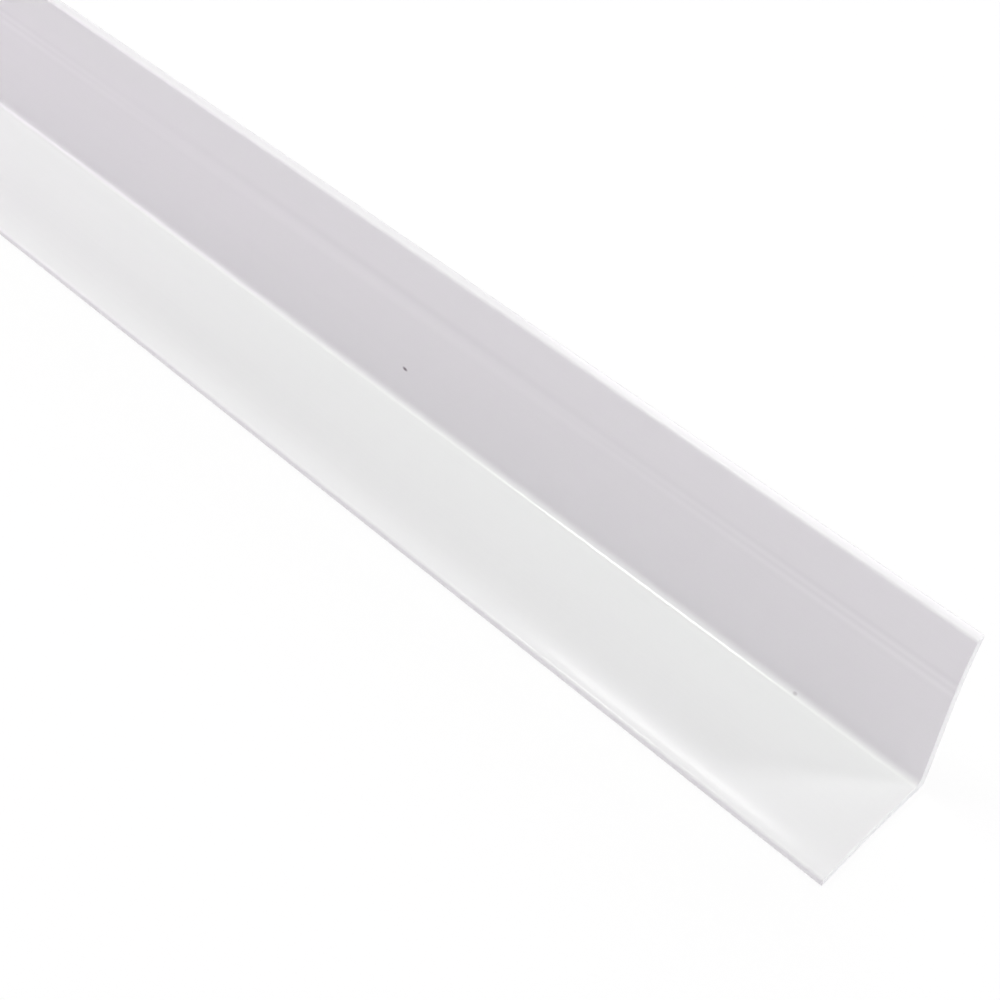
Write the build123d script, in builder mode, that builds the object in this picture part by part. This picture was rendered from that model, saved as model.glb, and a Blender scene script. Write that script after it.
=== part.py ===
"""Edge trim strip: an unequal angle extruded in rigid white PVC-U and sawn square at both ends.

The strip lies as it would on a bench. The flat leg is down and points to -Y, the tall leg
stands at +Y, and the extrusion runs along X. The origin is under the middle of the strip,
on the surface that it lies on. All sizes are in millimetres.
"""
import os

from build123d import *

# Sizes that the strip is ordered by: both legs are measured over the outer corner
length = 1000.0
flat_leg = 20.0
tall_leg = 30.0
wall = 1.5

# Corner of the angle
inner_corner_radius = 1.0
outer_corner_radius = 0.4

# Free edges: all four arrises are eased, and the flat leg's inner face rolls down to its edge
arris_radius = 0.4
edge_roll_width = 3.0
edge_roll_drop = 0.12

# Faces of the section, seen from the +X end with Y to the right and Z up
back_face = flat_leg / 2
inner_face = back_face - wall
free_edge = -flat_leg / 2
roll_start = free_edge + edge_roll_width
roll_end_height = wall - edge_roll_drop

with BuildPart() as edge_trim_strip:
    with BuildSketch(Plane.YZ) as section:
        with BuildLine():
            Polyline(
                (roll_start, wall),
                (inner_face, wall),
                (inner_face, tall_leg),
                (back_face, tall_leg),
                (back_face, 0),
                (free_edge, 0),
                (free_edge, roll_end_height),
            )
            TangentArc((roll_start, wall), (free_edge, roll_end_height), tangent=(-1, 0))
        make_face()

        inner_corner = section.vertices().sort_by_distance((inner_face, wall))[0]
        fillet(inner_corner, radius=inner_corner_radius)
        outer_corner = section.vertices().sort_by_distance((back_face, 0))[0]
        fillet(outer_corner, radius=outer_corner_radius)
        fillet(section.vertices().group_by(Axis.Y)[-1], radius=arris_radius)
        fillet(section.vertices().group_by(Axis.X)[0], radius=arris_radius)
    extrude(amount=length / 2, both=True)
edge_trim_strip.part.label = "edge_trim_strip"

os.makedirs("parts", exist_ok=True)
export_step(edge_trim_strip.part, "parts/edge_trim_strip.step")
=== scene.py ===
"""Edge trim strip: a white PVC-U angle that lies on its shorter leg, seen towards its inner corner."""
import math

import bmesh
import bpy
from mathutils import Euler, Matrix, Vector


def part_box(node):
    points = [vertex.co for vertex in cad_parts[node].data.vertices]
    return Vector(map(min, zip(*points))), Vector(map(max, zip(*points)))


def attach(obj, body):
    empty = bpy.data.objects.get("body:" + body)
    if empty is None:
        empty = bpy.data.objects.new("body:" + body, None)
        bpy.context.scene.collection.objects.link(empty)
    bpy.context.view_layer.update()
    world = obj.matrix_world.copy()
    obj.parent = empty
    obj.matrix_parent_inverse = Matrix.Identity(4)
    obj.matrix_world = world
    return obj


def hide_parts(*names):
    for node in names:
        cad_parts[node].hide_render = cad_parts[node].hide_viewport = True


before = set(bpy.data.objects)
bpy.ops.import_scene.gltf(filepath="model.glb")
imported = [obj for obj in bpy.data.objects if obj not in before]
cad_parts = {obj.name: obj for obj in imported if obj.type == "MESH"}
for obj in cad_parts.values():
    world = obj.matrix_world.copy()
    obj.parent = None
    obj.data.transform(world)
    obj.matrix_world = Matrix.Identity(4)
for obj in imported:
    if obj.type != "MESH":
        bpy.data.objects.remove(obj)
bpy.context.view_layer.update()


# The strip is one extrusion in rigid white PVC-U. The die gives it its section and draws fine
# lines along it, cooling leaves its faces a few hundredths of a millimetre out of flat, and a
# saw cuts it to length: the cut wanders a little and is matt. The section is in millimetres.

MM = 0.001
low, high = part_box("edge_trim_strip")
strip_length = high[0] - low[0]
flat_leg = (high[1] - low[1]) / MM
tall_leg = (high[2] - low[2]) / MM
wall = 1.5
inner_corner_radius = 1.0
outer_corner_radius = 0.4
arris_radius = 0.4

# The flat leg's inner face rolls down to its free edge, with the cube of the distance
edge_roll_width = 3.0
edge_roll_drop = 0.12
edge_roll_power = 3
roll_steps = 8

# Lines that the die draws on the tall leg's inner face: how far up the middle of each is, its half
# width, its depth beside the deepest (below 0 it stands proud), and where along the strip it is
# strongest. They fade and come back along the strip. The band that they lie in has finer columns.
# Colour: grey where deep, partly duller plastic and partly painted shade; where proud, painted
# highlight
die_lines = (
    (22.0, 0.70, 1.0, 410.0),
    (19.8, 1.10, -0.65, 410.0),
    (19.8, 1.10, -0.4, 500.0),
    (21.8, 0.40, 0.9, 495.0),
    (21.0, 0.30, -0.5, 495.0),
    (20.3, 0.30, 0.7, 495.0),
    (19.5, 0.30, -0.5, 495.0),
    (18.6, 0.40, 0.3, 495.0),
)
die_line_swell = 190.0
die_band = (16.6, 23.2)
die_band_column = 0.2

# Sizes that the extrusion's node tree takes, in metres
extrusion_sizes = {
    "Length": strip_length,
    "Ring Spacing": 5.0 * MM,
    "Column Width": 0.5 * MM,
    "Fillet Segments": 7,
    "Unevenness": 0.012 * MM,
    "Die Line Depth": 0.015 * MM,
    "Saw Wander": 0.42 * MM,
}
# How often the unevenness repeats in a metre along, across and up the strip
unevenness_scale = (16.0, 70.0, 70.0)

# How hollow the saw leaves the tall leg beside its wander, how squarely a sawn face points along
# the strip, and how much is taken off its edges, in metres
saw_hollow = 3.4
sawn_face_normal = 0.9
sawn_edge_ease = 0.08 * MM

# Colours of the plastic, of its streaks and of the die's lines, and how far each takes over
pvc_white = (0.82, 0.82, 0.825, 1.0)
pvc_streak = (0.77, 0.77, 0.78, 1.0)
# The line grey is partly the die's duller plastic and partly painted shade on groove flanks
line_grey_and_painted_shade = (0.70, 0.70, 0.71, 1.0)
# The line light is a painted highlight where the die's lines stand proud
painted_line_highlight = (0.88, 0.88, 0.885, 1.0)
streak_from_bands = 0.5
streak_from_lines = 0.3
streak_threshold = 0.15
line_grey_and_shade_share = 0.28
painted_line_highlight_share = 0.5

# Each speck in the compound: its place on the inner faces, its radius in metres, how dark it is.
# The die draws them out along the strip.
specks = (
    ((0.41270, 0.00850, 0.00811), 0.00042, 1.0),
    ((0.48151, 0.00818, 0.00177), 0.00032, 0.35),
)
speck_grey = (0.20, 0.17, 0.19, 1.0)
speck_stretch = 1.3
speck_edge = 1.6

# Texture of the plastic: how often each kind repeats in a metre along, across and up the strip,
# and what it does to the gloss and to the relief
drawn_line_scale = (4.0, 2600.0, 2600.0)
slow_band_scale = (9.0, 130.0, 130.0)
grain_scale = (7000.0, 7000.0, 7000.0)
blade_mark_scale = (1.0, 300.0, 5200.0)
gloss_roughness = 0.14
sawn_roughness = 0.62
drawn_line_roughness = 0.03
slow_band_roughness = 0.04
relief_depth = 0.0012 * MM
drawn_line_relief = 0.8
grain_relief = 0.2
blade_mark_relief = 40.0
pvc_ior = 1.54


class Wire:
    """An output of a node that reads like a number in a formula: each operator adds its Math node."""

    def __init__(self, tree, socket=None):
        self.tree = tree
        self.socket = socket

    def add(self, kind, settings=None, sockets=None, output=0):
        """Adds a node: settings first, then a value or a Wire for each socket. Returns one output."""
        node = self.tree.nodes.new(kind)
        for name, value in (settings or {}).items():
            setattr(node, name, value)
        for name, value in (sockets or {}).items():
            if isinstance(value, Wire):
                self.tree.links.new(value.socket, node.inputs[name])
            else:
                node.inputs[name].default_value = value
        return Wire(self.tree, node.outputs[output] if node.outputs else None)

    def math(self, operation, *values):
        return self.add("ShaderNodeMath", {"operation": operation}, dict(enumerate(values)))

    def __add__(self, other):
        return self.math("ADD", self, other)

    def __sub__(self, other):
        return self.math("SUBTRACT", self, other)

    def __rsub__(self, other):
        return self.math("SUBTRACT", other, self)

    def __mul__(self, other):
        return self.math("MULTIPLY", self, other)

    def __truediv__(self, other):
        return self.math("DIVIDE", self, other)

    def __neg__(self):
        return self.math("MULTIPLY", self, -1.0)

    def __gt__(self, other):
        return self.math("GREATER_THAN", self, other)

    def __lt__(self, other):
        return self.math("LESS_THAN", self, other)

    def __abs__(self):
        return self.math("ABSOLUTE", self)

    __radd__ = __add__
    __rmul__ = __mul__

    def clamped(self):
        return self.add("ShaderNodeClamp", None, {"Value": self})

    def along(self, axis):
        return self.add("ShaderNodeSeparateXYZ", None, {"Vector": self}, output=axis)

    def distance_to(self, place):
        sockets = {0: self, 1: place}
        return self.add("ShaderNodeVectorMath", {"operation": "DISTANCE"}, sockets, output="Value")

    def scaled(self, scale):
        return self.add("ShaderNodeVectorMath", {"operation": "MULTIPLY"}, {0: self, 1: scale})

    def noise(self, detail):
        sockets = {"Vector": self, "Scale": 1.0, "Detail": detail}
        return self.add("ShaderNodeTexNoise", {"noise_dimensions": "3D"}, sockets)

    def mixed(self, first, second):
        """From the first colour to the second as this number goes from 0 to 1."""
        sockets = {"Factor": self, "A": first, "B": second}
        return self.add("ShaderNodeMix", {"data_type": "RGBA"}, sockets, output="Result")


def die_line_strength(place):
    """About 1 in the middle of the die's deepest line, below 0 on its ridges. The back has none."""
    height = place.along("Z") / MM
    total = 0.0
    for middle, width, share, strongest in die_lines:
        off = (height - middle) / width
        bell = -off * off
        phase = (place.along("X") / MM - strongest) * (2 * math.pi / die_line_swell)
        swell = phase.math("COSINE", phase) * 0.5 + 0.5
        total = bell.math("EXPONENT", bell) * swell * swell * share + total
    return total * (place.along("Y") / MM < (flat_leg - wall) / 2)


def pvc_tint(place, sawn, drawn_lines, slow_bands):
    """White plastic with faint streaks, painted shade and highlight on the die's lines, and specks."""
    streak = slow_bands * streak_from_bands + drawn_lines * streak_from_lines - streak_threshold
    tint = streak.clamped().mixed(pvc_white, pvc_streak)
    lines = die_line_strength(place) * (1.0 - sawn)
    # Grey on deep lines: partly the die's duller plastic, partly painted shade on a flank
    tint = (lines * line_grey_and_shade_share).clamped().mixed(tint, line_grey_and_painted_shade)
    # Lighter where a line stands proud: a painted highlight on the lit flank
    tint = (lines * -painted_line_highlight_share).clamped().mixed(tint, painted_line_highlight)
    squeezed = place.scaled((1 / speck_stretch, 1.0, 1.0))
    for (x, y, z), radius, darkness in specks:
        away = squeezed.distance_to((x / speck_stretch, y, z))
        speck = (speck_edge - speck_edge * away / radius).clamped() * darkness
        tint = speck.mixed(tint, speck_grey)
    return tint


def pvc_material():
    """Satin plastic with the die's fine lines along it, and matt with blade marks where it is sawn."""
    material = bpy.data.materials.new("white_pvc_u")
    material.use_nodes = True
    material.node_tree.nodes.clear()
    wire = Wire(material.node_tree)
    place = wire.add("ShaderNodeTexCoord", output="Object")
    sawn = wire.add("ShaderNodeAttribute", {"attribute_name": "sawn"}, output="Fac")

    drawn_lines = place.scaled(drawn_line_scale).noise(detail=3.0)
    slow_bands = place.scaled(slow_band_scale).noise(detail=2.0)
    grain = place.scaled(grain_scale).noise(detail=2.0)
    blade_marks = place.scaled(blade_mark_scale).noise(detail=3.0)

    satin = gloss_roughness + (drawn_lines - 0.5) * drawn_line_roughness
    satin = satin + (slow_bands - 0.5) * slow_band_roughness
    as_drawn = drawn_lines * drawn_line_relief + grain * grain_relief
    height = (1.0 - sawn) * as_drawn + sawn * blade_marks * blade_mark_relief
    sockets = {"Height": height, "Distance": relief_depth, "Strength": 1.0}
    normal = wire.add("ShaderNodeBump", None, sockets)
    sockets = {
        "Base Color": pvc_tint(place, sawn, drawn_lines, slow_bands),
        "Roughness": satin + sawn * (sawn_roughness - gloss_roughness),
        "Normal": normal,
        "IOR": pvc_ior,
    }
    shader = wire.add("ShaderNodeBsdfPrincipled", None, sockets)
    wire.add("ShaderNodeOutputMaterial", None, {"Surface": shader})
    return material


def section_points():
    """The section's points from the +X end, with the radius that each corner is rounded to."""
    back = flat_leg / 2
    inner = back - wall
    edge = -back
    points = [((edge, 0), arris_radius), ((back, 0), outer_corner_radius)]
    points += [((back, tall_leg), arris_radius), ((inner, tall_leg), arris_radius)]
    columns = round((die_band[1] - die_band[0]) / die_band_column)
    for column in range(columns + 1):
        points.append(((inner, die_band[1] - column * die_band_column), 0.0))
    points.append(((inner, wall), inner_corner_radius))
    for step in range(roll_steps):
        part = step / roll_steps
        drop = edge_roll_drop * part ** edge_roll_power
        points.append(((edge + edge_roll_width * (1 - part), wall - drop), 0.0))
    points.append(((edge, wall - edge_roll_drop), arris_radius))
    return points


def section_curve():
    data = bpy.data.curves.new("trim_section", "CURVE")
    data.dimensions = "3D"
    points = section_points()
    spline = data.splines.new("POLY")
    spline.points.add(len(points) - 1)
    for point, ((y, z), radius) in zip(spline.points, points):
        point.co = (y * MM, z * MM, 0.0, 1.0)
        point.radius = radius * MM
    spline.use_cyclic_u = True
    section = bpy.data.objects.new("trim_section", data)
    bpy.context.scene.collection.objects.link(section)
    return section


def extrusion_tree(material):
    """Rounds the section's corners, draws it along X, then lets the faces and the saw cuts wander."""
    tree = bpy.data.node_groups.new("extruded_angle", "GeometryNodeTree")
    tree.interface.new_socket("Geometry", in_out="OUTPUT", socket_type="NodeSocketGeometry")
    tree.interface.new_socket("Section", in_out="INPUT", socket_type="NodeSocketGeometry")
    for name, value in extrusion_sizes.items():
        kind = "NodeSocketInt" if isinstance(value, int) else "NodeSocketFloat"
        tree.interface.new_socket(name, in_out="INPUT", socket_type=kind).default_value = value
    inputs = tree.nodes.new("NodeGroupInput")
    given = {socket.name: Wire(tree, socket) for socket in inputs.outputs if socket.name}
    wire = Wire(tree)
    here = wire.add("GeometryNodeInputPosition")
    normal = wire.add("GeometryNodeInputNormal")

    def moved(strip, offset, selection=True):
        sockets = {"Geometry": strip, "Offset": offset, "Selection": selection}
        return wire.add("GeometryNodeSetPosition", None, sockets)

    # The section: fillets at its corners, and its long flats divided into columns
    radius = wire.add("GeometryNodeInputRadius")
    segments = given["Fillet Segments"] * (radius > 0.0)
    sockets = {"Curve": given["Section"], "Count": segments, "Radius": radius}
    section = wire.add("GeometryNodeFilletCurve", {"mode": "POLY"}, sockets)
    following = wire.add("GeometryNodeOffsetPointInCurve", None, {"Offset": 1}, output="Point Index")
    sockets = {"Value": here, "Index": following}
    there = wire.add("GeometryNodeFieldAtIndex", {"data_type": "FLOAT_VECTOR"}, sockets)
    cuts = here.distance_to(there) / given["Column Width"]
    section = wire.add("GeometryNodeSubdivideCurve", None, {"Curve": section, "Cuts": cuts})

    # The line that it is drawn along, turned so that the section's own axes are +Y and +Z
    half = given["Length"] * 0.5
    start = wire.add("ShaderNodeCombineXYZ", None, {"X": -half})
    end = wire.add("ShaderNodeCombineXYZ", None, {"X": half})
    path = wire.add("GeometryNodeCurvePrimitiveLine", None, {"Start": start, "End": end})
    rings = given["Length"] / given["Ring Spacing"] + 1.0
    path = wire.add("GeometryNodeResampleCurve", None, {"Curve": path, "Count": rings})
    path = wire.add("GeometryNodeSetCurveTilt", None, {"Curve": path, "Tilt": math.pi})
    sockets = {"Curve": path, "Profile Curve": section, "Fill Caps": True}
    strip = wire.add("GeometryNodeCurveToMesh", None, sockets)

    # The two sawn faces are marked for the material, and stay flat where all else is smooth
    is_sawn = abs(normal.along("X")) > sawn_face_normal
    on_faces = {"data_type": "FLOAT", "domain": "FACE"}
    sockets = {"Geometry": strip, "Name": "sawn", "Value": is_sawn}
    strip = wire.add("GeometryNodeStoreNamedAttribute", on_faces, sockets)
    sockets = {"Geometry": strip, "Shade Smooth": 1.0 - is_sawn}
    strip = wire.add("GeometryNodeSetShadeSmooth", {"domain": "FACE"}, sockets)

    # The faces settle as they cool, and the die's lines are drawn into the tall leg's inner face
    hollow = here.scaled(unevenness_scale).noise(detail=1.0) * given["Unevenness"]
    inwards = wire.add("ShaderNodeVectorMath", {"operation": "SCALE"}, {0: normal, "Scale": -hollow})
    strip = moved(strip, inwards)
    depth = die_line_strength(here) * given["Die Line Depth"]
    strip = moved(strip, wire.add("ShaderNodeCombineXYZ", None, {"Y": depth}))

    # The saw leaves the cut hollow two thirds of the way up the tall leg, and runs off square
    # towards the flat leg's free edge
    up = here.along("Z") / (tall_leg * MM)
    out = ((flat_leg / 2 - wall) * MM - here.along("Y")) / ((flat_leg - wall) * MM)
    to_corner = 1.0 - out.clamped()
    wander = up * up * (1.0 - up) * saw_hollow + 1.0 - to_corner * to_corner
    side = here.along("X")
    inwards = -side.math("SIGN", side) * (wander * given["Saw Wander"])
    cut = wire.add("ShaderNodeCombineXYZ", None, {"X": inwards})
    strip = moved(strip, cut, abs(side) > half - 0.5 * given["Ring Spacing"])

    strip = wire.add("GeometryNodeRealizeInstances", None, {"Geometry": strip})
    strip = wire.add("GeometryNodeSetMaterial", None, {"Geometry": strip, "Material": material})
    wire.add("NodeGroupOutput", None, {"Geometry": strip})
    return tree


def extruded_mesh(material):
    section = section_curve()
    modifier = section.modifiers.new("extrusion", "NODES")
    modifier.node_group = extrusion_tree(material)
    for item in modifier.node_group.interface.items_tree:
        if item.name in extrusion_sizes:
            modifier[item.identifier] = extrusion_sizes[item.name]
    shape = section.evaluated_get(bpy.context.evaluated_depsgraph_get())
    mesh = bpy.data.meshes.new_from_object(shape)
    bpy.data.objects.remove(section)
    mesh.name = "edge_trim_strip_extrusion"
    return mesh


def ease_sawn_edges(mesh):
    """Takes the sharpness off the edges round both cuts, as a few strokes with fine paper do."""
    shape = bmesh.new()
    shape.from_mesh(mesh)
    sawn = shape.faces.layers.float["sawn"]
    eased = bmesh.ops.bevel(
        shape,
        geom=[edge for edge in shape.edges if sum(face[sawn] for face in edge.link_faces) == 1.0],
        affect="EDGES",
        offset=sawn_edge_ease,
        segments=2,
        profile=0.5,
        clamp_overlap=True,
    )
    for face in eased["faces"]:
        face.smooth = False
        face[sawn] = 1.0
    shape.to_mesh(mesh)
    shape.free()


mesh = extruded_mesh(pvc_material())
ease_sawn_edges(mesh)
strip = bpy.data.objects.new("edge_trim_strip_extrusion", mesh)
bpy.context.scene.collection.objects.link(strip)
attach(strip, "root")
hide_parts("edge_trim_strip")


# The bench under the strip is plain white card, which keeps the strip's own shadow. What the
# camera and the gloss see of it is lifted towards white, and is white where it is far from the
# strip, but its light on the strip stays as it is. Its sizes are in metres.

card_size = 30.0
card_gap = 0.05 * MM
card_white = (0.93, 0.93, 0.93, 1.0)
card_lift = 0.86
card_fade_start = 0.9
card_fade_width = 2.0
full_white = (1.0, 1.0, 1.0, 1.0)


def seen_not_lit(wire):
    """1 for what the camera, the gloss and clear things look at, and 0 for the light that falls."""
    camera = wire.add("ShaderNodeLightPath", output="Is Camera Ray")
    gloss = wire.add("ShaderNodeLightPath", output="Is Glossy Ray")
    clear = wire.add("ShaderNodeLightPath", output="Is Transmission Ray")
    return (camera + gloss + clear).clamped()


card = bpy.data.materials.new("bench_card")
card.use_nodes = True
card.node_tree.nodes.clear()
wire = Wire(card.node_tree)
away = wire.add("ShaderNodeTexCoord", output="Object").distance_to((0.0, 0.0, 0.0))
lift = card_lift + ((away - card_fade_start) / card_fade_width).clamped() * (1.0 - card_lift)
paper = wire.add("ShaderNodeBsdfDiffuse", None, {"Color": card_white})
glow = wire.add("ShaderNodeEmission", None, {"Color": full_white, "Strength": 1.0})
surface = wire.add("ShaderNodeMixShader", None, {0: seen_not_lit(wire) * lift, 1: paper, 2: glow})
wire.add("ShaderNodeOutputMaterial", None, {"Surface": surface})

card_mesh = bpy.data.meshes.new("bench")
card_corners = [
    (x * card_size / 2, y * card_size / 2, -card_gap)
    for x, y in ((-1, -1), (1, -1), (1, 1), (-1, 1))
]
card_mesh.from_pydata(card_corners, [], [(0, 1, 2, 3)])
card_mesh.materials.append(card)
bench = bpy.data.objects.new("bench", card_mesh)
bpy.context.scene.collection.objects.link(bench)


# The light is a pale room with two big soft panels, one overhead in front and one high on the
# right. Small soft lamps make the glints on the corner and on the rolled edge, throw the tall
# leg's shadow at the near end, and fill in from the left, past the cut end and from behind.

room_colour = (0.99, 0.846, 1.0, 1.0)
room_level = 0.287
lilac = (0.965, 0.745, 1.0)
faint_lilac = (0.98, 0.91, 1.0)
pale_green = (0.877, 1.0, 0.795)
pale_cyan = (0.9, 1.0, 0.97)
neutral = (1.0, 1.0, 1.0)


def soft_lamp(name, place, target, size, power, colour):
    """A flat lamp that faces its target, so wide and so high in metres, with its power in watts."""
    data = bpy.data.lights.new(name, "AREA")
    data.shape = "RECTANGLE"
    data.size = size[0]
    data.size_y = size[1]
    data.energy = power
    data.color = colour
    lamp = bpy.data.objects.new(name, data)
    lamp.location = place
    lamp.rotation_euler = (Vector(target) - Vector(place)).to_track_quat("-Z", "Y").to_euler()
    bpy.context.scene.collection.objects.link(lamp)


soft_lamp("panel", (0.1, -0.2, 1.4), (0.1, -0.2, 0.0), (2.0, 0.45), 8.0, pale_green)
soft_lamp("high_right", (1.5, -0.8, 2.0), (0.42, 0.0, 0.0), (1.2, 1.2), 11.5, pale_cyan)
soft_lamp("left", (-0.6, -0.7, 0.7), (0.3, 0.0, 0.0), (0.6, 0.6), 3.45, lilac)
soft_lamp("corner_glint", (0.0, -0.1, 1.25), (0.4, 0.0, 0.0), (0.34, 0.2), 1.6, neutral)
soft_lamp("edge_glint", (0.07, 0.6, 1.2), (0.07, 0.6, 0.0), (0.27, 0.12), 0.38, neutral)
soft_lamp("window", (1.104, 0.506, 0.899), (0.49, 0.0, 0.0), (0.15, 0.15), 2.0, neutral)
soft_lamp("end", (1.5, 0.0, 0.1), (0.5, 0.0, 0.01), (0.6, 0.18), 2.4, neutral)
soft_lamp("behind", (0.3, 0.75, 0.62), (0.4, 0.0, 0.0), (0.7, 0.4), 2.1, faint_lilac)

room = bpy.data.worlds.new("room")
bpy.context.scene.world = room
room.use_nodes = True
room.node_tree.nodes.clear()
wire = Wire(room.node_tree)
fill = wire.add("ShaderNodeBackground", None, {"Color": room_colour, "Strength": room_level})
white = wire.add("ShaderNodeBackground", None, {"Color": full_white, "Strength": 1.0})
shown = wire.add("ShaderNodeMixShader", None, {0: seen_not_lit(wire), 1: fill, 2: white})
wire.add("ShaderNodeOutputWorld", None, {"Surface": shown})


# The camera stands close above the near end and looks down along the strip at its inner corner.
# Its lens and sensor are in millimetres, its place in metres and its turn in degrees.

camera_lens = 65.46
camera_sensor = 36.0
camera_near = 0.01
camera_place = (0.53751, -0.11590, 0.18455)
camera_angles = (40.901, -2.701, 43.576)

camera_data = bpy.data.cameras.new("camera")
camera_data.sensor_width = camera_sensor
camera_data.lens = camera_lens
camera_data.clip_start = camera_near
camera = bpy.data.objects.new("camera", camera_data)
camera.location = camera_place
camera.rotation_euler = Euler([math.radians(angle) for angle in camera_angles])
bpy.context.scene.collection.objects.link(camera)
bpy.context.scene.camera = camera
bpy.context.scene.view_settings.view_transform = "Standard"
